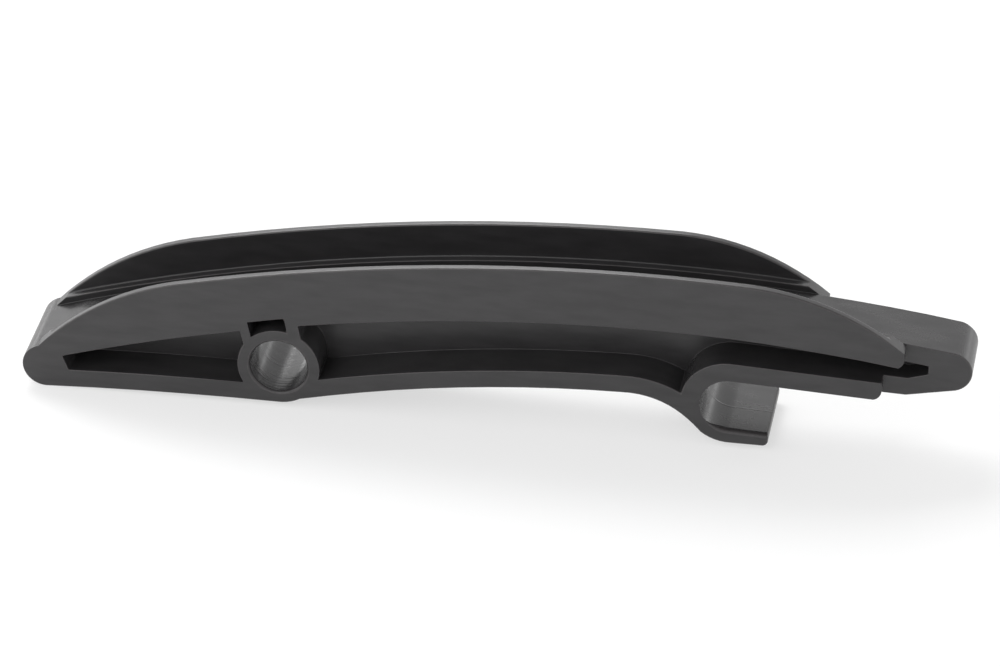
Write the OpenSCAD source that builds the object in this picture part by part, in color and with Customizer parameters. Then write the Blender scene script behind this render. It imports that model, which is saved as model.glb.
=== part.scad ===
// Chain guide rail, moulded in one piece. A long curved sliding face lies between two side walls.
// Pockets on both sides leave a thin web, a round boss takes one pin and an open fork takes the other.
// X runs along the rail, Y across it and Z up. The origin is on the bore axis at mid-width.

/* [Main sizes] */
// Distance from the bore axis to the fork's pin, which also carries the crown, the fork and the tip
pin_pitch = 93; // [84:0.5:102]
// Distance from the bore axis to the end of the nose, which also carries the walls' lead-in
nose_reach = 53.95; // [48:0.05:60]
// Distance from the fork's pin to the end of the tip, which also carries the ends of walls and pocket
tip_reach = 48.4; // [44:0.1:52]
// Width of the rail over its side walls
rail_w = 19.5; // [17.5:0.5:24]

/* [Pins] */
// Diameter of the bore that takes the fixed pin
bore_d = 12; // [10:0.1:12.6]
// Wall of the boss round the bore
boss_wall = 2.6; // [2.2:0.1:3]
// Chamfer on both mouths of the bore
bore_chamfer = 0.4; // [0.2:0.1:0.8]
// Height of the fork's pin above the bore axis
fork_z = 0.2; // [-0.6:0.1:0.8]
// Clear width of the fork
fork_gap = 12.2; // [11:0.1:12.6]
// Angle by which the fork's mouth dips
fork_angle = 2.6; // [1:0.1:4]
// Wall under the fork
hook_t = 2.6; // [2:0.1:3.2]
// Outside radius of the fork's bend
hook_r = 9.4; // [9:0.1:10]
// Distance from the fork's pin to the end of the lower arm
arm_reach = 8; // [6:0.25:11]
// Rounding of the lower arm's end
arm_end_r = 1.2; // [0.6:0.1:1.8]

/* [Sliding face] */
// Radius of the sliding face
rail_r = 410; // [370:5:450]
// Distance from the crown of the sliding face to the fork's pin
crown_gap = 16.5; // [13:0.5:20]
// Height of the sliding face at its crown
crown_z = 20; // [19.25:0.25:22]
// Thickness of the plate under the sliding face
floor_t = 3.4; // [2.8:0.1:3.8]
// Thickness of the ribs along the underside
rib_t = 4.1; // [3.2:0.1:4.5]
// Thickness of the web between the pockets
web_t = 2.6; // [1.6:0.1:4]

/* [Side walls] */
// Height of the side walls above the sliding face
wall_h = 9.05; // [7.5:0.05:11]
// Thickness of a side wall above its ledge
wall_t = 1.7; // [1.3:0.1:2.2]
// Thickness of a side wall at its foot
foot_t = 3.3; // [2.8:0.1:3.8]
// Height of the ledge above the sliding face
ledge_h = 1.5; // [1:0.1:2.5]
// Distance from the nose to where the walls reach their full height
lead_in_run = 28.5; // [24:0.5:34]
// Angle round the nose at which the walls rise out of it
lead_in_angle = 105.8; // [96:0.2:116]
// Distance from the end of the front wall to the tip
front_gap = 9; // [7.5:0.1:11]
// Length over which the front wall falls to its end
front_fall = 32.6; // [28:0.1:38]
// Depth of the front wall's end below the sliding face
front_drop = 0.45; // [0.2:0.05:0.9]
// Distance from the end of the rear wall to the tip
rear_gap = 26.2; // [20:0.1:32]
// Length over which the rear wall falls to its end
rear_fall = 31.5; // [27:0.1:36]
// Depth of the rear wall's end below the sliding face
rear_drop = 1.4; // [0.6:0.05:1.8]
// Rounding under the end of a wall
wall_end_r = 2.2; // [1.4:0.1:2.6]

/* [Ends] */
// Radius of the nose
nose_r = 4.85; // [4.4:0.05:5.4]
// Radius of the tip
tip_r = 4.5; // [4:0.05:5]
// Distance from where the underside turns up to the tip
knee_gap = 8.7; // [7.5:0.1:11]
// Distance from the end of the fork's upper arm at full width to the tip
rib_gap = 13.3; // [11.6:0.1:17]
// Rounding under that end
rib_end_r = 2.2; // [1:0.1:2.8]

/* [Underside] */
// Radius of the hollow between nose and boss
belly_r = 700; // [400:10:900]
// Distance from the crown of the arch to the fork's pin
arch_gap = 17.2; // [15:0.1:19]
// Height of the crown of the arch
arch_z = 1.3; // [0.5:0.1:2.2]
// Height above the lowest point of the boss at which the arch springs from it
arch_spring = 0.08; // [0.02:0.02:0.4]
// Radius that leads the arch down into the fork
neck_r = 18; // [15:0.25:22]

/* [Pockets] */
// Distance from the nose to the first pocket, along its roof
pocket_a_gap = 3.7; // [3:0.1:7]
// Lean of that end of the pocket
pocket_a_lean = 20.6; // [0:0.2:30]
// Left side of the small pocket over the boss
pocket_b_x = -5.9; // [-6.2:0.1:-5]
// Right side of the small pocket over the boss
pocket_b_end_x = 1.7; // [1:0.1:2]
// Plate left over the small pocket
pocket_b_roof = 1.5; // [1.2:0.1:1.9]
// Rib between the first and the small pocket
rib_ab_t = 1.9; // [1.4:0.1:2.6]
// Rib between the small and the long pocket
rib_bc_t = 2.6; // [1.8:0.1:3.2]
// Distance from where the roof of the long pocket starts to fall to the crown
roof_gap = 4.5; // [0:0.5:12]
// Distance from the closed end of the long pocket to the tip
pocket_c_gap = 4.4; // [4:0.1:6]
// Rise of the pocket's bottom from the knee to that end
pocket_c_rise = 1.2; // [0.6:0.1:1.5]
// Height of the closed end
pocket_c_end_h = 1.9; // [1.4:0.1:2.4]

/* [Hidden] */
$fa = 0.5;
$fs = 0.3;
body_colour = [0.17, 0.165, 0.165];
// Room by which cutters pass through the surfaces they open
past = 1;
far = 60;
// Height by which an arc stands proud of the line or arc that it runs into, so that the two cross
blend = 0.01;
boss_r = bore_d / 2 + boss_wall;
fork_r = fork_gap / 2;
channel_w = rail_w - 2 * foot_t;
top_r = rail_r + wall_h;
ledge_r = rail_r + ledge_h;
roof_main_r = rail_r - floor_t;
crown_x = pin_pitch - crown_gap;
nose_x = nose_r - nose_reach;
tip_x = pin_pitch + tip_reach - tip_r;
beyond_x = tip_x + far;

// Upper point at x of the circle of radius r round c
function at_x(c, r, x) = [x, c[1] + sqrt(r * r - (x - c[0]) * (x - c[0]))];
// Point at radius r from c on the line from c through p
function toward(c, p, r) = c + r * (p - c) / norm(p - c);
// Point at ra from a and rb from b, on the left of the way from a to b
function meet(a, ra, b, rb) =
    let (d = norm(b - a), u = (b - a) / d, t = (d * d + ra * ra - rb * rb) / (2 * d))
    a + t * u + sqrt(ra * ra - t * t) * [-u[1], u[0]];
// Radius of the circle that touches the one round c at t from within and passes through p
function touch_r(c, t, p) = (t - p) * (t - p) * norm(t - c) / (2 * ((t - p) * (t - c)));
// Lower touching point of the tangent from p to the circle of radius r round c
function touch_below(p, c, r) =
    let (d = norm(c - p), a = atan2(c[1] - p[1], c[0] - p[0]) - asin(r / d), l = sqrt(d * d - r * r))
    p + l * [cos(a), sin(a)];

rail_c = [crown_x, crown_z - rail_r];
nose_c = at_x(rail_c, rail_r - nose_r + blend, nose_x);
tip_c = at_x(rail_c, rail_r - tip_r + blend, tip_x);

// Arcs along the underside
arch_x = pin_pitch - arch_gap;
arch_h = arch_z + boss_r - arch_spring;
arch_r = (arch_x * arch_x + arch_h * arch_h) / (2 * arch_h);
arch_c = [arch_x, arch_z - arch_r];
belly_c = meet([0, 0], belly_r + boss_r, nose_c, belly_r + nose_r);
nose_foot = toward(nose_c, belly_c, nose_r);
boss_foot = toward([0, 0], belly_c, boss_r);

// The fork, with the direction across its opening
fork_c = [pin_pitch, fork_z];
fork_n = [sin(fork_angle), cos(fork_angle)];
hook_c = [pin_pitch, fork_z - fork_r - hook_t + hook_r];
neck_c = meet(arch_c, arch_r - neck_r, hook_c, hook_r + neck_r);
neck_foot = toward(hook_c, neck_c, hook_r);
arm_x = pin_pitch + arm_reach;
arm_z = hook_c[1] - hook_r + blend;

// The tip under its sliding face
knee_x = tip_x - knee_gap;
knee = [knee_x, fork_z + fork_r / cos(fork_angle) - tan(fork_angle) * (knee_x - pin_pitch)];
knee_rib = knee + rib_t * fork_n;
tip_foot = touch_below(knee, tip_c, tip_r - blend);
rib_end_x = tip_x - rib_gap;
rib_end_z = knee[1] + tan(fork_angle) * (knee_x - rib_end_x);

// Lead-in of the walls at the nose
lead_t = at_x(rail_c, top_r, nose_x + lead_in_run);
wall_foot = nose_c + nose_r * [cos(lead_in_angle), sin(lead_in_angle)];
lead_in_r = touch_r(rail_c, lead_t, wall_foot);
lead_c = toward(rail_c, lead_t, top_r - lead_in_r + blend);

// Roof of the long pocket and its closed end
pocket_c_end_x = tip_x - pocket_c_gap;
pocket_c_end_z = knee_rib[1] + pocket_c_rise;
roof_t = at_x(rail_c, roof_main_r, crown_x - roof_gap);
roof_r = touch_r(rail_c, roof_t, [pocket_c_end_x, pocket_c_end_z + pocket_c_end_h]);
roof_c = toward(rail_c, roof_t, roof_main_r - roof_r + blend);
// Height of the plane through that end which parts the walls from the ribs
part_z = pocket_c_end_z + pocket_c_end_h / 2;

module disc(c, r) {
    translate(c) circle(r = r);
}

// Sheet of the given depth along Y, from y0 toward +Y, cut to an outline drawn in X and Z
module sheet(y0, depth) {
    translate([0, y0 + depth, 0]) rotate([90, 0, 0]) linear_extrude(height = depth) children();
}

// Disc of the arch up to the line on which the neck takes over
module arch_disc(r) {
    intersection() {
        disc(arch_c, r);
        polygon([[-past, far], [-past, -far], arch_c, toward(arch_c, neck_c, arch_r + far)]);
    }
}

// Outline under the sliding face from the nose to the boss
module nose_outline() {
    disc(nose_c, nose_r);
    difference() {
        polygon([nose_c, nose_foot, boss_foot, [0, 0], [0, far], toward(rail_c, nose_c, rail_r + far)]);
        disc(belly_c, belly_r + blend);
    }
}

// Outline under the sliding face from the boss to the fork's bend
module arch_outline() {
    difference() {
        polygon([[0, far], [0, -boss_r], neck_c, neck_foot, hook_c, hook_c + [0, far]]);
        arch_disc(arch_r);
        disc(neck_c, neck_r + blend);
    }
    disc(hook_c, hook_r);
}

// Outline under the sliding face from the fork's bend to the tip
module tip_outline() {
    difference() {
        polygon([hook_c + [0, far], [hook_c[0], arm_z], [arm_x, arm_z], [arm_x, fork_z], [knee_x, fork_z],
                 knee, tip_foot, tip_c, toward(rail_c, tip_c, rail_r + far)]);
        difference() {
            translate([arm_x - arm_end_r, arm_z - past]) square(arm_end_r + past);
            disc([arm_x - arm_end_r, arm_z + arm_end_r], arm_end_r + blend);
        }
    }
    disc(tip_c, tip_r);
}

// Open slot of the fork
module fork_outline() {
    disc(fork_c, fork_r + blend);
    translate(fork_c) rotate(-fork_angle) translate([0, -fork_r]) square([far, fork_gap]);
}

// Everything under the sliding face, seen from the side
module core_outline() {
    difference() {
        intersection() {
            union() {
                nose_outline();
                disc([0, 0], boss_r);
                arch_outline();
                tip_outline();
            }
            disc(rail_c, rail_r);
        }
        fork_outline();
    }
}

// Side wall above the sliding face, before its end is cut
module wall_outline() {
    intersection() {
        polygon([nose_c, wall_foot - [past, 0], [nose_x, far], [beyond_x, far], tip_c]);
        disc(rail_c, top_r);
        union() {
            disc(lead_c, lead_in_r);
            polygon([lead_c, toward(rail_c, lead_t, top_r + far), [beyond_x, far], [beyond_x, 0]]);
        }
    }
}

// What is cut away from a side wall and its ribs toward the tip
module end_outline(gap, fall, drop) {
    end_x = tip_x - gap;
    run_t = at_x(rail_c, top_r, end_x - fall);
    run_r = touch_r(rail_c, run_t, at_x(rail_c, rail_r - drop, end_x));
    run_c = toward(rail_c, run_t, top_r - run_r + blend);
    end_c = [end_x - wall_end_r, at_x(roof_c, roof_r, end_x)[1] + wall_end_r];
    difference() {
        polygon([[run_t[0], part_z], toward(rail_c, run_t, top_r + far), [beyond_x, far], [beyond_x, part_z]]);
        disc(run_c, run_r);
    }
    translate([end_x, part_z]) square(far);
    difference() {
        translate([end_c[0], part_z]) square([wall_end_r + past, end_c[1] - part_z]);
        disc(end_c, wall_end_r + blend);
    }
    translate([rib_end_x, part_z - far]) square(far);
    difference() {
        translate([rib_end_x - rib_end_r, rib_end_z - past]) square(rib_end_r + past);
        disc([rib_end_x - rib_end_r, rib_end_z + rib_end_r], rib_end_r + blend);
    }
}

// Full-width side of the rail with its wall
module side_outline(gap, fall, drop) {
    difference() {
        union() {
            core_outline();
            wall_outline();
        }
        fork_outline();
        end_outline(gap, fall, drop);
    }
}

// Side wall on top of its thicker foot, whose top is the ledge; out is where the outer face lies
module side(out, gap, fall, drop) {
    sheet(min(out, out - sign(out) * wall_t), wall_t) side_outline(gap, fall, drop);
    sheet(min(out, out - sign(out) * foot_t), foot_t)
        intersection() {
            side_outline(gap, fall, drop);
            disc(rail_c, ledge_r);
        }
}

// First pocket, between nose and boss
module pocket_a() {
    foot = at_x(rail_c, roof_main_r, nose_x + pocket_a_gap);
    end_t = at_x(rail_c, roof_main_r, pocket_b_x - rib_ab_t);
    lean = boss_r * [sin(pocket_a_lean), -cos(pocket_a_lean)];
    difference() {
        intersection() {
            polygon([foot - lean, foot + lean, toward(rail_c, end_t, roof_main_r - 2 * boss_r),
                     toward(rail_c, end_t, roof_main_r + boss_r)]);
            disc(rail_c, roof_main_r);
        }
        disc([0, 0], boss_r);
        disc(belly_c, belly_r + rib_t);
    }
}

// Small pocket over the boss
module pocket_b() {
    left = at_x(rail_c, roof_main_r, pocket_b_x);
    right = at_x(rail_c, roof_main_r, pocket_b_end_x);
    difference() {
        intersection() {
            polygon([toward(rail_c, left, roof_main_r + boss_r), toward(rail_c, left, roof_main_r - boss_r),
                     toward(rail_c, right, roof_main_r - boss_r), toward(rail_c, right, roof_main_r + boss_r)]);
            disc(rail_c, rail_r - pocket_b_roof);
        }
        disc([0, 0], boss_r);
    }
}

// Long pocket from the boss over the fork into the tip
module pocket_c() {
    left = at_x(rail_c, roof_main_r, pocket_b_end_x + rib_bc_t);
    difference() {
        intersection() {
            polygon([toward(rail_c, left, roof_main_r + boss_r), toward(rail_c, left, roof_main_r - 2 * boss_r),
                     neck_c, fork_c, fork_c + (fork_r + rib_t) * fork_n, knee_rib,
                     [pocket_c_end_x, pocket_c_end_z], [pocket_c_end_x, far]]);
            disc(rail_c, roof_main_r);
            union() {
                disc(roof_c, roof_r);
                polygon([roof_c, toward(rail_c, roof_t, roof_main_r + far), [-far, far], [-far, roof_c[1]]]);
            }
        }
        disc([0, 0], boss_r);
        arch_disc(arch_r + rib_t);
        disc(neck_c, neck_r + rib_t + blend);
        disc(fork_c, fork_r + rib_t + blend);
    }
}

// Bore with a chamfer at each mouth
module pin_bore() {
    rotate([90, 0, 0]) cylinder(r = bore_d / 2, h = rail_w + 2 * past, center = true);
    for (s = [-1, 1])
        translate([0, s * (rail_w / 2 - bore_chamfer), 0])
            rotate([-90 * s, 0, 0])
                cylinder(r1 = bore_d / 2, r2 = bore_d / 2 + bore_chamfer + past, h = bore_chamfer + past);
}

module guide_rail() {
    color(body_colour)
    difference() {
        union() {
            sheet(-channel_w / 2, channel_w) core_outline();
            side(-rail_w / 2, front_gap, front_fall, front_drop);
            side(rail_w / 2, rear_gap, rear_fall, rear_drop);
        }
        for (y0 = [-rail_w / 2 - past, web_t / 2])
            sheet(y0, (rail_w - web_t) / 2 + past) {
                pocket_a();
                pocket_b();
                pocket_c();
            }
        pin_bore();
    }
}

guide_rail();
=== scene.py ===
import bpy
import numpy as np
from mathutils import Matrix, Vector


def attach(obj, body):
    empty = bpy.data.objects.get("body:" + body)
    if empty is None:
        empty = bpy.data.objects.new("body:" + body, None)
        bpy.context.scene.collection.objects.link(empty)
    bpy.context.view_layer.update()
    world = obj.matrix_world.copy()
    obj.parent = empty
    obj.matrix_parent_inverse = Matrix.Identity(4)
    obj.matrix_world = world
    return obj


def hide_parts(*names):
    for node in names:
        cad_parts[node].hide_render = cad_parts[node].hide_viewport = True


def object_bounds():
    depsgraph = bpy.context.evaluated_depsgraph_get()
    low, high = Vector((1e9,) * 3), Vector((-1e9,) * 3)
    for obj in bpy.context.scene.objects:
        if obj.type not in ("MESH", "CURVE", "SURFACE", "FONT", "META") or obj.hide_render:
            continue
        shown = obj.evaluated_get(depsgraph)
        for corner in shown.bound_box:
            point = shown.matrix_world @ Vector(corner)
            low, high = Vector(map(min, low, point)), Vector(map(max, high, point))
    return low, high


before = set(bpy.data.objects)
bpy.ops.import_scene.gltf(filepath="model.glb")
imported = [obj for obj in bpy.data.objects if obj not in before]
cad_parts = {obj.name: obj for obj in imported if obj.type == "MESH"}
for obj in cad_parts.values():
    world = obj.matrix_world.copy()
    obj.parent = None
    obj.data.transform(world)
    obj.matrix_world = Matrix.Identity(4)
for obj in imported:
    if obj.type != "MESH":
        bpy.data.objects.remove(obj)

bl_info = {
    "name": "Chain guide rail",
    "version": (1, 0, 0),
    "blender": (4, 5, 0),
    "location": "3D View > Sidebar > Chain guide",
    "description": "Dresses the moulded chain guide rail and sets up its studio",
    "category": "Object",
}

MM = 0.001
CAD_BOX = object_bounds()
# Distances from the bore's axis, which runs through the origin along Y: the bore with its chamfers, and the boss
NEAR_BORE, BOSS_R = 7.0 * MM, 9.0 * MM
# The fork's pin, its slot's half width, the tangent of the angle by which the slot dips, and its ends along X
FORK_X, FORK_Z, FORK_R = 93.0 * MM, 0.2 * MM, 6.1 * MM
FORK_DIP, FORK_START, FORK_END = 0.0454, 84.0 * MM, 108.0 * MM
# The lead-in on the fork's lower arm: where it starts, over which height it grows, and its run for each unit of fall
LEAD_IN_Z, LEAD_IN_GROWS, LEAD_IN_RUN = -3.0 * MM, 2.5 * MM, 4.0
# Circles of the sliding face and of the rib over the arch, in X and Z, and the plate under the sliding face
RAIL_X, RAIL_Z, RAIL_R = 76.5 * MM, -390.0 * MM, 410.0 * MM
ARCH_X, ARCH_Z, ARCH_R = 75.8 * MM, -296.15 * MM, 299.5 * MM
PLATE = 2.0 * MM
# Planes at both sides of the middle: side faces, inner faces of the wall feet and web, and how near is on a plane
SIDE_Y, FOOT_Y, WEB_Y, ON_PLANE = 9.75 * MM, 6.45 * MM, 1.3 * MM, 0.02 * MM
# Height of the middle of a wall foot over the sliding face, and what counts as near it
FOOT_HEIGHT, NEAR_FOOT = 0.8 * MM, 1.2 * MM
# Edges that bend by fewer degrees are smooth
LEAST_BEND = 24
# Where one surface runs out on another at a shallow angle, in X and Z, so that no edge can be rounded much: the
# rounding grows from a small share to the whole over this distance
CUSP_REACH, CUSP_SHARE = 7.0 * MM, 0.03
CUSPS = np.array([(123.2, 5.0), (110.4, 15.3), (127.8, 13.0), (128.2, 16.5), (111.0, 18.0), (-50.8, -0.3),
                  (-10.8, -4.0), (10.4, -1.0), (-5.1, 8.5)]) * MM


def linear(hex_colour):
    """Linear RGBA of an sRGB hex colour."""
    s = np.array([int(hex_colour[i:i + 2], 16) for i in (1, 3, 5)]) / 255
    c = np.where(s <= 0.04045, s / 12.92, ((s + 0.055) / 1.055) ** 2.4)
    return (*c.tolist(), 1.0)


WHITE = linear("#ffffff")


def per_mm(*sizes):
    """Pattern scales for sizes in millimetres along X, Y and Z."""
    return tuple(1 / (size * MM) for size in sizes)


def node(tree, kind, links=(), **settings):
    """Adds a node. Settings are its properties, or its inputs where they are given as in_NAME or in_NUMBER;
    links are (input, output socket) pairs."""
    n = tree.nodes.new(kind)
    for key, value in settings.items():
        if key.startswith("in_"):
            name = key[3:].replace("_", " ")
            n.inputs[int(name) if name.isdigit() else name].default_value = value
        else:
            setattr(n, key, value)
    for target, socket in links:
        tree.links.new(socket, n.inputs[target])
    return n


class RailFinish(bpy.types.PropertyGroup):
    """Edges and surface of the moulding."""
    outer_round: bpy.props.FloatProperty(
        name="Outer edges", description="Rounding of the edges of the outline", default=0.4 * MM,
        min=0.05 * MM, max=0.8 * MM, unit="LENGTH")
    rim_round: bpy.props.FloatProperty(
        name="Pocket rims", description="Rounding of the rims of the pockets", default=0.25 * MM,
        min=0.05 * MM, max=0.5 * MM, unit="LENGTH")
    bore_round: bpy.props.FloatProperty(
        name="Bore rims", description="Rounding of both edges of the bore's chamfers", default=0.27 * MM,
        min=0.05 * MM, max=0.28 * MM, unit="LENGTH")
    fork_round: bpy.props.FloatProperty(
        name="Fork rims", description="Rounding of the fork's rims", default=0.05 * MM,
        min=0.01 * MM, max=0.3 * MM, unit="LENGTH")
    fork_lead_in: bpy.props.FloatProperty(
        name="Fork lead-in", description="How far the lead-in runs in over the fork's lower arm", default=2.0 * MM,
        min=0.05 * MM, max=3.0 * MM, unit="LENGTH")
    fillet: bpy.props.FloatProperty(
        name="Inner corners", description="Fillet in the inner corners", default=0.5 * MM,
        min=0.05 * MM, max=0.8 * MM, unit="LENGTH")
    pocket_fillet: bpy.props.FloatProperty(
        name="Pocket floors", description="Fillet round the floors of the pockets", default=0.15 * MM,
        min=0.05 * MM, max=1.2 * MM, unit="LENGTH")
    dark: bpy.props.FloatVectorProperty(
        name="Plastic", description="Colour of the moulded plastic", size=4, subtype="COLOR",
        default=linear("#2a292a"), min=0.0, max=1.0)
    light: bpy.props.FloatVectorProperty(
        name="Flow marks", description="Colour of the plastic where fibres lie near the skin", size=4,
        subtype="COLOR", default=linear("#323132"), min=0.0, max=1.0)
    # Painted highlight: a lighter colour on the rounded outer edges, standing in for the light they catch
    painted_edge_highlight: bpy.props.FloatVectorProperty(
        name="Highlit edges", description="Colour of the edges, where the skin is rubbed", size=4,
        subtype="COLOR", default=linear("#484445"), min=0.0, max=1.0)
    grain: bpy.props.FloatProperty(
        name="Grain", description="Size of the grain of the moulded skin", default=0.45 * MM, min=0.1 * MM,
        max=2.0 * MM, unit="LENGTH")


class StudioSettings(bpy.types.PropertyGroup):
    """Floor, light and camera."""
    floor_colour: bpy.props.FloatVectorProperty(
        name="Floor", description="Colour of the floor", size=4, subtype="COLOR",
        default=linear("#f4f4f4"), min=0.0, max=1.0)
    dome: bpy.props.FloatProperty(
        name="Dome", description="Strength of the even light from all round", default=0.9, min=0.0, max=2.0)
    cove: bpy.props.FloatProperty(
        name="Cove", description="Strength of the white cove in reflections", default=1.0, min=0.0, max=2.0)
    ceiling: bpy.props.FloatProperty(
        name="Ceiling", description="Share of the cove's strength that is left overhead", default=0.3, min=0.0,
        max=1.0)
    back_lamp: bpy.props.FloatProperty(
        name="Back softbox", description="Power of the wide lamp behind the part", default=10.0, min=0.0,
        max=60.0, unit="POWER")
    key_lamp: bpy.props.FloatProperty(
        name="Key softbox", description="Power of the lamp at front left", default=0.8, min=0.0, max=60.0,
        unit="POWER")
    cove_lamp: bpy.props.FloatProperty(
        name="Cove lamp", description="Power of the broad lamp along the cove", default=2.0, min=0.0, max=60.0,
        unit="POWER")
    low_lamp: bpy.props.FloatProperty(
        name="Low strip", description="Power of the long lamp low behind the part", default=2.2, min=0.0, max=60.0,
        unit="POWER")
    left_lamp: bpy.props.FloatProperty(
        name="Left softbox", description="Power of the lamp at the left", default=7.0, min=0.0, max=60.0,
        unit="POWER")
    lens: bpy.props.FloatProperty(
        name="Lens", description="Focal length", default=194.4, min=20.0, max=400.0, unit="CAMERA")
    camera_place: bpy.props.FloatVectorProperty(
        name="Camera", description="Where the camera stands", size=3, subtype="TRANSLATION",
        default=(0.201778, -0.925777, 0.584559))
    camera_target: bpy.props.FloatVectorProperty(
        name="Target", description="Point at the middle of the picture", size=3, subtype="TRANSLATION",
        default=(0.044363, 0.0, 0.006843))


def unit(v):
    """Vectors at length 1; a vector of no length stays as it is."""
    return v / np.maximum(np.linalg.norm(v, axis=-1, keepdims=True), 1e-12)


def face_normals(points, tri):
    """Outward normals of triangles: the cross product of two of their sides."""
    return unit(np.cross(points[tri[:, 1]] - points[tri[:, 0]], points[tri[:, 2]] - points[tri[:, 0]]))


def whole_triangles(tri):
    """The triangles whose three corners differ."""
    return tri[(tri[:, 0] != tri[:, 1]) & (tri[:, 1] != tri[:, 2]) & (tri[:, 2] != tri[:, 0])]


def merged_triangles(source):
    """Places and triangles of a CAD node: corners of its loose triangles that share a place become one point."""
    co = np.empty(len(source.vertices) * 3, np.float32)
    source.vertices.foreach_get("co", co)
    tri = np.empty(len(source.loops), np.int32)
    source.loops.foreach_get("vertex_index", tri)
    places, index = np.unique(np.round(co.reshape(-1, 3).astype(float), 7), axis=0, return_inverse=True)
    return places, whole_triangles(index.reshape(-1)[tri].reshape(-1, 3))


def across(normal):
    """True for faces that run across the rail, within 30 degrees of its width."""
    return np.abs(normal[:, 1]) < 0.5


def over_slide(x, z):
    """Height over the sliding face."""
    return np.hypot(x - RAIL_X, z - RAIL_Z) - RAIL_R


def in_pocket(x, z):
    """True for points of the side faces on the rim of a pocket: inside the outline of the ribs."""
    over_arch = np.hypot(x - ARCH_X, z - ARCH_Z) > ARCH_R
    return over_arch & (over_slide(x, z) < -PLATE) & (np.hypot(x, z) > BOSS_R)


def in_fork(x, z):
    """True for points in or on the fork's slot."""
    from_axis = np.abs(z - FORK_Z + (x - FORK_X) * FORK_DIP)
    return (x > FORK_START) & (x < FORK_END) & (from_axis < FORK_R + 0.3 * MM)


def lead_in_share(y, z):
    """Share of the fork's lead-in: none at the back and high up, all of it on the front of the lower arm."""
    return np.where(y < 0, np.clip((LEAD_IN_Z - z) / LEAD_IN_GROWS, 0, 1), 0)


def edge_rounding(middle, along, n_left, n_right, finish):
    """Radius for each edge of the moulding, from its middle, its direction and the normals of its two faces: none
    where the faces run on smoothly, a fillet in inner corners, a small round on the rims of pockets, bore and fork
    and a larger one on the outline."""
    x, y, z = middle.T
    inner = (np.cross(n_left, n_right) * along).sum(1) < 0
    bend = np.degrees(np.arccos(np.clip((n_left * n_right).sum(1), -1, 1)))
    on_side, on_foot, on_web = (np.abs(np.abs(y) - plane) < ON_PLANE for plane in (SIDE_Y, FOOT_Y, WEB_Y))
    outer_rim = on_side & ~inner
    radius = np.where(inner, finish.fillet, finish.outer_round)
    radius[outer_rim & in_pocket(x, z)] = finish.rim_round
    radius[inner & on_web] = finish.pocket_fillet
    radius[on_foot & (np.abs(over_slide(x, z) - FOOT_HEIGHT) < NEAR_FOOT)] = finish.rim_round
    radius[np.hypot(x, z) < NEAR_BORE] = finish.bore_round
    fork = outer_rim & in_fork(x, z)
    fall = finish.fork_lead_in / LEAD_IN_RUN
    radius[fork] = (finish.fork_round + (fall - finish.fork_round) * lead_in_share(y, z))[fork]
    from_cusp = np.hypot(x[:, None] - CUSPS[:, 0], z[:, None] - CUSPS[:, 1]).min(1)
    radius *= np.clip(from_cusp / CUSP_REACH, CUSP_SHARE, 1)
    radius[bend < LEAST_BEND] = 0.0
    return radius


def half_edges(tri, count):
    """The half-edges of closed triangles, three to a triangle: their start and end points, the half-edge that
    follows each one round its triangle, and its twin, which runs the other way along the same edge."""
    start = tri.ravel()
    half = np.arange(len(start))
    following = half - half % 3 + (half + 1) % 3
    end = start[following]
    key = start * count + end
    order = np.argsort(key)
    twin = order[np.searchsorted(key[order], end * count + start)]
    return start, end, following, twin


def joined_sectors(following, twin, sharp):
    """One half-edge of each sector, and the number of each half-edge's sector: the corners round a point are joined
    across its smooth edges, by passing on the least number until nothing changes."""
    smooth = np.flatnonzero(~sharp)
    other = following[twin[smooth]]
    label, before = np.arange(len(twin)), None
    while before is None or not np.array_equal(before, label):
        before = label.copy()
        least = np.minimum(label[smooth], label[other])
        np.minimum.at(label, smooth, least)
        np.minimum.at(label, other, least)
    return np.unique(label, return_inverse=True)


def set_back(normal, leaving, arriving, d1, d2):
    """How far each sector's copy of a point moves in the sector's plane, to stand d1 from the edge that leaves it and
    d2 from the one that arrives: the sideways steps of both edges, weighed so that both distances hold, or their
    mean where the edges run nearly straight on, and never more than 2.5 times the larger distance."""
    m1, m2 = np.cross(normal, leaving), np.cross(normal, arriving)
    c = (m1 * m2).sum(1, keepdims=True)
    straight = (m1 + m2) * (d1 + d2) / 2 / np.maximum(1 + c, 0.2)
    bent = ((d1 - c * d2) * m1 + (d2 - c * d1) * m2) / np.maximum(1 - c * c, 0.05)
    shift = np.where(c > 0.9, straight, bent)
    reach = np.linalg.norm(shift, axis=1, keepdims=True)
    return shift * np.minimum(1, 2.5 * np.maximum(d1, d2) / np.maximum(reach, 1e-12))


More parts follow.
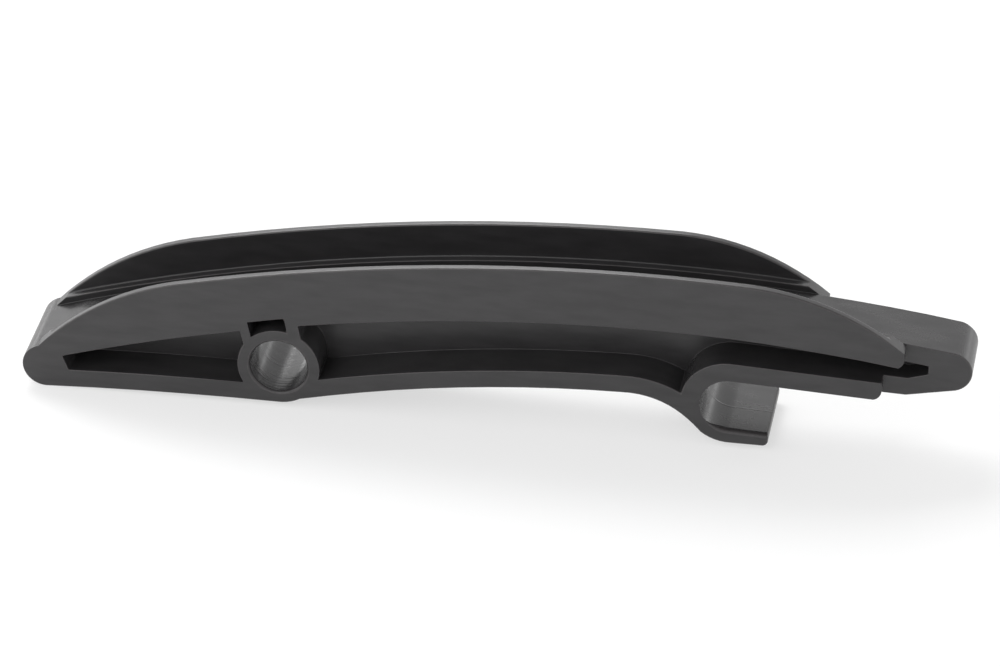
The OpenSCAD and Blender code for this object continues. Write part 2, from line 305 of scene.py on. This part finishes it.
def rounded_edges(places, tri, finish, steps=3):
    """Points, their normals, the triangles of the same closed surface with its edges rounded, and for each point 1
    where it lies on an outer edge.

    Round each point the faces are joined into sectors that no sharp edge parts. Each sector keeps a copy of the
    point, moved in its own plane until it stands one radius from both sharp edges beside it. Across each edge
    the two copies are joined by a conic arc, with the old point as its third corner and the cosine of half the bend
    as weight, which is a circle where both radii are the same; strips run from arc to arc along the edges, and a fan
    of triangles closes each corner where three or more edges meet."""
    count = len(places)
    start, end, following, twin = half_edges(tri, count)
    half = np.arange(len(start))
    normal = np.repeat(face_normals(places, tri), 3, axis=0)
    along = unit(places[end] - places[start])
    middle = (places[start] + places[end]) / 2
    one = np.minimum(half, twin)
    radius = edge_rounding(middle[one], along[one], normal[one], normal[twin[one]], finish)
    sharp = radius > 0
    # The lead-in over the fork's lower arm runs further in than it falls
    x, y, z = middle.T
    on_arm = in_fork(x, z) & across(normal)
    radius *= np.where(on_arm, 1 + (LEAD_IN_RUN - 1) * lead_in_share(y, z), 1)

    first, sector = joined_sectors(following, twin, sharp)
    origin = places[start[first]]
    n_sector = len(first)
    before = along[following[following]]
    angle = np.arccos(np.clip(-(along * before).sum(1), -1, 1))
    sector_normal = np.zeros((n_sector, 3))
    np.add.at(sector_normal, sector, normal * angle[:, None])
    sector_normal = unit(sector_normal)

    edges_at = np.bincount(start[sharp], minlength=count)
    leave, arrive = np.full(n_sector, -1), np.full(n_sector, -1)
    leave[sector[half[sharp]]] = half[sharp]
    arrive[sector[following[half[sharp]]]] = half[sharp]
    moves = (leave >= 0) & (edges_at[start[first]] > 1)
    shift = set_back(sector_normal, along[leave], along[arrive], radius[leave][:, None], radius[arrive][:, None])
    points = origin + np.where(moves[:, None], shift, 0)

    # Arcs: one for each pair of sectors that meet across an edge at a point
    edge = half[sharp & (half < twin)]
    back = twin[edge]
    left = np.concatenate([sector[edge], sector[following[edge]]])
    right = np.concatenate([sector[following[back]], sector[back]])
    low, high = np.minimum(left, right), np.maximum(left, right)
    arc, which = np.unique(low * n_sector + high, return_inverse=True)
    low, high = arc // n_sector, arc % n_sector
    t = (np.arange(1, steps) / steps)[None, :, None]
    turn = np.clip((sector_normal[low] * sector_normal[high]).sum(1), -1, 1)[:, None, None]
    weight = 2 * t * (1 - t) * np.sqrt((1 + turn) / 2)
    p0, p1, p2 = points[low][:, None], origin[low][:, None], points[high][:, None]
    arcs = ((1 - t) ** 2 * p0 + weight * p1 + t ** 2 * p2) / ((1 - t) ** 2 + weight + t ** 2)
    arc_normal = unit((1 - t) * sector_normal[low][:, None] + t * sector_normal[high][:, None])
    inside = n_sector + np.arange(len(arc) * (steps - 1)).reshape(-1, steps - 1)
    inside[low == high] = low[low == high][:, None]
    row = np.column_stack([low, inside, high])[which]
    row = np.where((row[:, :1] == right[:, None]), row, row[:, ::-1])

    # Strips along the edges, and a fan round the middle of each corner
    near, far = np.split(row, 2)
    strip = np.stack([near[:, :-1], far[:, :-1], far[:, 1:], near[:, 1:]], axis=-1).reshape(-1, 4)
    hub = np.concatenate([start[edge], end[edge]])
    corner = edges_at[hub] > 2
    ring = np.concatenate([near, far[:, ::-1]])[corner]
    hubs, spoke = np.unique(hub[corner], return_inverse=True)
    fan_base = n_sector + len(arcs) * (steps - 1)
    fan = np.stack([np.repeat(fan_base + spoke, steps), ring[:, :-1].ravel(), ring[:, 1:].ravel()], axis=-1)
    all_points = np.concatenate([points, arcs.reshape(-1, 3)])
    all_normals = np.concatenate([sector_normal, arc_normal.reshape(-1, 3)])
    centre, facing = np.zeros((len(hubs), 3)), np.zeros((len(hubs), 3))
    np.add.at(centre, spoke, all_points[ring].mean(1))
    np.add.at(facing, spoke, all_normals[ring].mean(1))
    centre /= np.bincount(spoke, minlength=len(hubs))[:, None]
    # The middle of a corner bulges a little of the way to where the edges met
    centre += 0.28 * (places[hubs] - centre)
    triangles = np.concatenate([sector.reshape(-1, 3), strip[:, [0, 1, 2]], strip[:, [0, 2, 3]], fan])

    inner_edge = (np.cross(normal[edge], normal[back]) * along[edge]).sum(1) < 0
    outer_arc = np.ones(len(arc))
    outer_arc[which[np.tile(inner_edge, 2)]] = 0
    outer = np.concatenate([np.zeros(n_sector), np.repeat(outer_arc, steps - 1), np.full(len(hubs), 0.5)])
    return (np.concatenate([all_points, centre]), np.concatenate([all_normals, unit(facing)]),
            whole_triangles(triangles), outer)


def bore_faces(centre, normal):
    """1 on the wall of the bore, whose faces look at its axis."""
    x, y, z = centre.T
    from_axis = np.hypot(x, z)
    inward = -(x * normal[:, 0] + z * normal[:, 2]) / np.maximum(from_axis, 1e-9)
    return (from_axis < NEAR_BORE) & (inward > 0.9)


def seam_faces(centre, normal):
    """Height of the line where the halves of the tool meet: 1 in the fork, less on the ends and the underside, none
    in the bore or on the sliding face."""
    x, y, z = centre.T
    ends = (normal[:, 2] < 0.3) & (np.hypot(x, z) > NEAR_BORE)
    return across(normal) * np.maximum(0.4 * ends, in_fork(x, z))


def polished_faces(centre, normal):
    """How smooth the tool leaves the faces that something runs on: 1 in the bore, a little less in the fork and on
    the sliding face."""
    x, y, z = centre.T
    slide = (np.abs(over_slide(x, z)) < 0.3 * MM) & (np.abs(y) < FOOT_Y + 0.05 * MM) & (normal[:, 2] > 0.5)
    return np.maximum(bore_faces(centre, normal), 0.8 * ((in_fork(x, z) & across(normal)) | slide))


class CHAINGUIDE_OT_body(bpy.types.Operator):
    """The moulded rail with the rounded edges and the surface of the real moulding"""
    bl_idname = "chain_guide.body"
    bl_label = "Moulded rail"

    def execute(self, context):
        finish = context.scene.rail_finish
        places, tri = merged_triangles(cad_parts["guide_rail"].data)
        points, normals, triangles, outer = rounded_edges(places, tri, finish)
        mesh = bpy.data.meshes.new("moulded_rail")
        mesh.from_pydata(points.tolist(), [], triangles.tolist())
        mesh.polygons.foreach_set("use_smooth", np.ones(len(mesh.polygons), bool))
        mesh.normals_split_custom_set_from_vertices(normals.tolist())
        centre = points[triangles].mean(1)
        face = face_normals(points, triangles)
        for name, value in (("bore", bore_faces(centre, face)), ("polish", polished_faces(centre, face)),
                            ("seam", seam_faces(centre, face))):
            mesh.attributes.new(name, "FLOAT", "FACE").data.foreach_set("value", value.astype(np.float32))
        mesh.attributes.new("edge", "FLOAT", "POINT").data.foreach_set("value", outer.astype(np.float32))
        rail = bpy.data.objects.new("moulded_rail", mesh)
        context.scene.collection.objects.link(rail)
        mesh.materials.append(moulded_nylon(finish))
        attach(rail, "root")
        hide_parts("guide_rail")
        return {"FINISHED"}


def moulded_nylon(finish):
    """Glass-fibre filled polyamide, injection moulded in a steel tool. The fibres near the skin give a satin, faintly
    mottled dark grey; the tool's polished faces come out glossier; its two halves leave a fine line round the middle
    and its reamed core pin leaves rings in the bore. The rounded outer edges carry a painted highlight: a lighter
    colour, broken up by the grain."""
    material = bpy.data.materials.new("moulded_glass_filled_polyamide")
    material.use_nodes = True
    tree = material.node_tree
    shader = tree.nodes["Principled BSDF"]
    shader.inputs["IOR"].default_value = 1.53
    place = node(tree, "ShaderNodeTexCoord").outputs["Object"]
    axes = node(tree, "ShaderNodeSeparateXYZ", links=[(0, place)])
    polish, bore, edge, seam = (node(tree, "ShaderNodeAttribute", attribute_name=name).outputs["Fac"]
                                for name in ("polish", "bore", "edge", "seam"))

    # Flow marks: streaks about 9 mm long and 2 mm high, drawn out along the rail as the melt ran
    stretched = node(tree, "ShaderNodeMapping", in_Scale=per_mm(9, 3, 2), links=[("Vector", place)])
    flow = node(tree, "ShaderNodeTexNoise", in_Scale=1.0, in_Detail=3.0, in_Roughness=0.55,
                links=[("Vector", stretched.outputs[0])])
    # Grain of the skin: really about 0.05 mm, drawn coarser so that it shows
    grain = node(tree, "ShaderNodeTexNoise", in_Scale=1 / finish.grain, in_Detail=2.0,
                 links=[("Vector", place)])
    # Rings in the bore: about 0.8 mm apart along Y, and hardly changing round it
    ringed = node(tree, "ShaderNodeMapping", in_Scale=per_mm(9, 0.8, 9), links=[("Vector", place)])
    rings = node(tree, "ShaderNodeTexNoise", in_Scale=1.0, in_Detail=2.0, links=[("Vector", ringed.outputs[0])])
    # Parting line: a ridge 0.5 mm wide at the middle of the width
    off_middle = node(tree, "ShaderNodeMath", operation="ABSOLUTE", links=[(0, axes.outputs["Y"])])
    parting = node(tree, "ShaderNodeMapRange", interpolation_type="SMOOTHSTEP", in_1=0.0, in_2=0.26 * MM,
                   in_3=1.0, in_4=0.0, links=[(0, off_middle.outputs[0])])

    marks = node(tree, "ShaderNodeMapRange", in_1=0.35, in_2=0.65, links=[(0, flow.outputs["Fac"])])
    skin = node(tree, "ShaderNodeMix", data_type="RGBA", in_6=finish.dark, in_7=finish.light,
                links=[(0, marks.outputs[0])])
    # Painted highlight: on the rounded outer edges, broken up by the grain, the colour turns towards the lighter edge
    # colour
    edge_highlight_share = node(tree, "ShaderNodeMath", operation="MULTIPLY", links=[(0, edge), (1, grain.outputs["Fac"])])
    colour = node(tree, "ShaderNodeMix", data_type="RGBA", in_7=finish.painted_edge_highlight,
                  links=[(0, edge_highlight_share.outputs[0]), (6, skin.outputs[2])])
    tree.links.new(colour.outputs[2], shader.inputs["Base Color"])

    satin = node(tree, "ShaderNodeMapRange", in_1=0.3, in_2=0.7, in_3=0.28, in_4=0.36,
                 links=[(0, grain.outputs["Fac"])])
    tool_marks = node(tree, "ShaderNodeMix", data_type="FLOAT", links=[
        (0, bore), (2, flow.outputs["Fac"]), (3, rings.outputs["Fac"])])
    gloss = node(tree, "ShaderNodeMapRange", in_1=0.3, in_2=0.7, in_3=0.17, in_4=0.29,
                 links=[(0, tool_marks.outputs[0])])
    roughness = node(tree, "ShaderNodeMix", data_type="FLOAT", links=[
        (0, polish), (2, satin.outputs[0]), (3, gloss.outputs[0])])
    tree.links.new(roughness.outputs[0], shader.inputs["Roughness"])

    # Heights in metres: grain 3 microns, 1 on the polished faces, parting line 28, rings 40
    skin_height = node(tree, "ShaderNodeMapRange", in_3=3e-6, in_4=1e-6, links=[(0, polish)])
    height = node(tree, "ShaderNodeMath", operation="MULTIPLY",
                  links=[(0, grain.outputs["Fac"]), (1, skin_height.outputs[0])])
    seam_height = node(tree, "ShaderNodeMath", operation="MULTIPLY", in_1=28e-6, links=[(0, seam)])
    line = node(tree, "ShaderNodeMath", operation="MULTIPLY_ADD",
                links=[(0, parting.outputs[0]), (1, seam_height.outputs[0]), (2, height.outputs[0])])
    ring_height = node(tree, "ShaderNodeMath", operation="MULTIPLY", in_1=40e-6, links=[(0, bore)])
    relief = node(tree, "ShaderNodeMath", operation="MULTIPLY_ADD",
                  links=[(0, rings.outputs["Fac"]), (1, ring_height.outputs[0]), (2, line.outputs[0])])
    bump = node(tree, "ShaderNodeBump", in_Strength=1.0, in_Distance=1.0, links=[("Height", relief.outputs[0])])
    tree.links.new(bump.outputs[0], shader.inputs["Normal"])
    return material


class CHAINGUIDE_OT_stage(bpy.types.Operator):
    """Pale floor, even studio light and the camera"""
    bl_idname = "chain_guide.stage"
    bl_label = "Studio"

    def execute(self, context):
        scene, studio = context.scene, context.scene.chain_guide_studio
        scene.view_settings.view_transform = "Standard"
        # Six metres square, under the lowest point of the part
        floor = bpy.data.meshes.new("floor")
        corners = np.array([[-3.0, -3.0], [3.0, -3.0], [3.0, 3.0], [-3.0, 3.0]])
        floor.from_pydata(np.column_stack([corners, np.full(4, CAD_BOX[0].z)]).tolist(), [], [(0, 1, 2, 3)])
        floor.materials.append(pale_floor(studio))
        ground = bpy.data.objects.new("floor", floor)
        scene.collection.objects.link(ground)
        scene.world = white_dome(studio)

        # Each lamp's place, the point it faces, its size in metres and its power
        rail_middle, over_bore = (0.04, 0, 0.01), (0, 0, 0.01)
        for name, place, aim, size, power in (
                ("left_softbox", (-1.1, 0.25, 0.6), rail_middle, (1.6, 0.9), studio.left_lamp),
                ("back_softbox", (-0.346, 0.668, 0.929), rail_middle, (0.7, 0.5), studio.back_lamp),
                ("cove_strip", (-0.55, 1.2, 0.75), rail_middle, (1.2, 0.8), studio.cove_lamp),
                ("low_strip", (0.05, 1.1, 0.05), rail_middle, (2.2, 0.25), studio.low_lamp),
                ("key_softbox", (-0.23, -0.46, 0.46), over_bore, (0.4, 0.4), studio.key_lamp)):
            light = bpy.data.lights.new(name, "AREA")
            light.shape, light.energy = "RECTANGLE", power
            light.size, light.size_y = size
            lamp = bpy.data.objects.new(name, light)
            lamp.location = place
            lamp.rotation_mode = "QUATERNION"
            lamp.rotation_quaternion = (Vector(aim) - lamp.location).to_track_quat("-Z", "Y")
            scene.collection.objects.link(lamp)

        view = bpy.data.cameras.new("camera")
        view.sensor_fit, view.sensor_width, view.lens = "HORIZONTAL", 36.0, studio.lens
        view.clip_start, view.clip_end = 0.05, 20.0
        camera = bpy.data.objects.new("camera", view)
        camera.location = studio.camera_place
        camera.rotation_mode = "QUATERNION"
        aim = Vector(studio.camera_target) - Vector(studio.camera_place)
        camera.rotation_quaternion = aim.to_track_quat("-Z", "Y")
        scene.collection.objects.link(camera)
        scene.camera = camera
        return {"FINISHED"}


def seen_directly(tree):
    """1 for rays from the camera, in mirrors and through glass, 0 for rays that only carry light."""
    path = node(tree, "ShaderNodeLightPath")
    first = node(tree, "ShaderNodeMath", operation="MAXIMUM", links=[
        (0, path.outputs["Is Camera Ray"]), (1, path.outputs["Is Glossy Ray"])])
    return node(tree, "ShaderNodeMath", operation="MAXIMUM", links=[
        (0, first.outputs[0]), (1, path.outputs["Is Transmission Ray"])]).outputs[0]


def white_dome(studio):
    """White studio cove with a darker ceiling: white where the camera sees it, and in reflections and light white up
    to 33 degrees above the horizon, falling off to the ceiling's share at 72 degrees."""
    world = bpy.data.worlds.new("white_cove")
    world.use_nodes = True
    tree = world.node_tree
    tree.nodes.clear()
    up = node(tree, "ShaderNodeSeparateXYZ", links=[(0, node(tree, "ShaderNodeTexCoord").outputs["Generated"])])
    cove = node(tree, "ShaderNodeMapRange", interpolation_type="SMOOTHSTEP", in_1=0.55, in_2=0.95, in_3=1.0,
                in_4=studio.ceiling, links=[(0, up.outputs["Z"])])
    path = node(tree, "ShaderNodeLightPath")
    mirrored = node(tree, "ShaderNodeMath", operation="MAXIMUM", links=[
        (0, path.outputs["Is Glossy Ray"]), (1, path.outputs["Is Transmission Ray"])])
    level = node(tree, "ShaderNodeMapRange", in_3=studio.dome, in_4=studio.cove, links=[(0, mirrored.outputs[0])])
    strength = node(tree, "ShaderNodeMath", operation="MULTIPLY",
                    links=[(0, cove.outputs[0]), (1, level.outputs[0])])
    light = node(tree, "ShaderNodeBackground", in_Color=WHITE, links=[("Strength", strength.outputs[0])])
    white = node(tree, "ShaderNodeBackground", in_Color=WHITE, in_Strength=1.0)
    mix = node(tree, "ShaderNodeMixShader", links=[
        (0, path.outputs["Is Camera Ray"]), (1, light.outputs[0]), (2, white.outputs[0])])
    node(tree, "ShaderNodeOutputWorld", links=[("Surface", mix.outputs[0])])
    return world


def pale_floor(studio):
    """Matt paper that keeps the part's shadow: where it is seen, six tenths of it are plain white."""
    material = bpy.data.materials.new("pale_paper_floor")
    material.use_nodes = True
    tree = material.node_tree
    tree.nodes.clear()
    paper = node(tree, "ShaderNodeBsdfDiffuse", in_Color=studio.floor_colour)
    white = node(tree, "ShaderNodeEmission", in_Color=WHITE, in_Strength=1.0)
    share = node(tree, "ShaderNodeMath", operation="MULTIPLY", in_1=0.6, links=[(0, seen_directly(tree))])
    mix = node(tree, "ShaderNodeMixShader", links=[
        (0, share.outputs[0]), (1, paper.outputs[0]), (2, white.outputs[0])])
    node(tree, "ShaderNodeOutputMaterial", links=[("Surface", mix.outputs[0])])
    return material


class CHAINGUIDE_PT_panel(bpy.types.Panel):
    """Sidebar panel that lists the pieces and the studio"""
    bl_idname = "CHAINGUIDE_PT_panel"
    bl_label = "Chain guide"
    bl_space_type = "VIEW_3D"
    bl_region_type = "UI"
    bl_category = "Chain guide"

    def draw(self, context):
        layout = self.layout
        for group in (context.scene.rail_finish, context.scene.chain_guide_studio):
            for key in group.bl_rna.properties.keys():
                if key not in {"rna_type", "name"}:
                    layout.prop(group, key)
        layout.operator(CHAINGUIDE_OT_body.bl_idname)
        layout.operator(CHAINGUIDE_OT_stage.bl_idname)


CLASSES = (RailFinish, StudioSettings, CHAINGUIDE_OT_body, CHAINGUIDE_OT_stage, CHAINGUIDE_PT_panel)


def register():
    for cls in CLASSES:
        bpy.utils.register_class(cls)
    bpy.types.Scene.rail_finish = bpy.props.PointerProperty(type=RailFinish)
    bpy.types.Scene.chain_guide_studio = bpy.props.PointerProperty(type=StudioSettings)


def unregister():
    del bpy.types.Scene.chain_guide_studio
    del bpy.types.Scene.rail_finish
    for cls in reversed(CLASSES):
        bpy.utils.unregister_class(cls)


def main():
    register()
    bpy.ops.chain_guide.body()
    bpy.ops.chain_guide.stage()


if __name__ == "__main__":
    main()
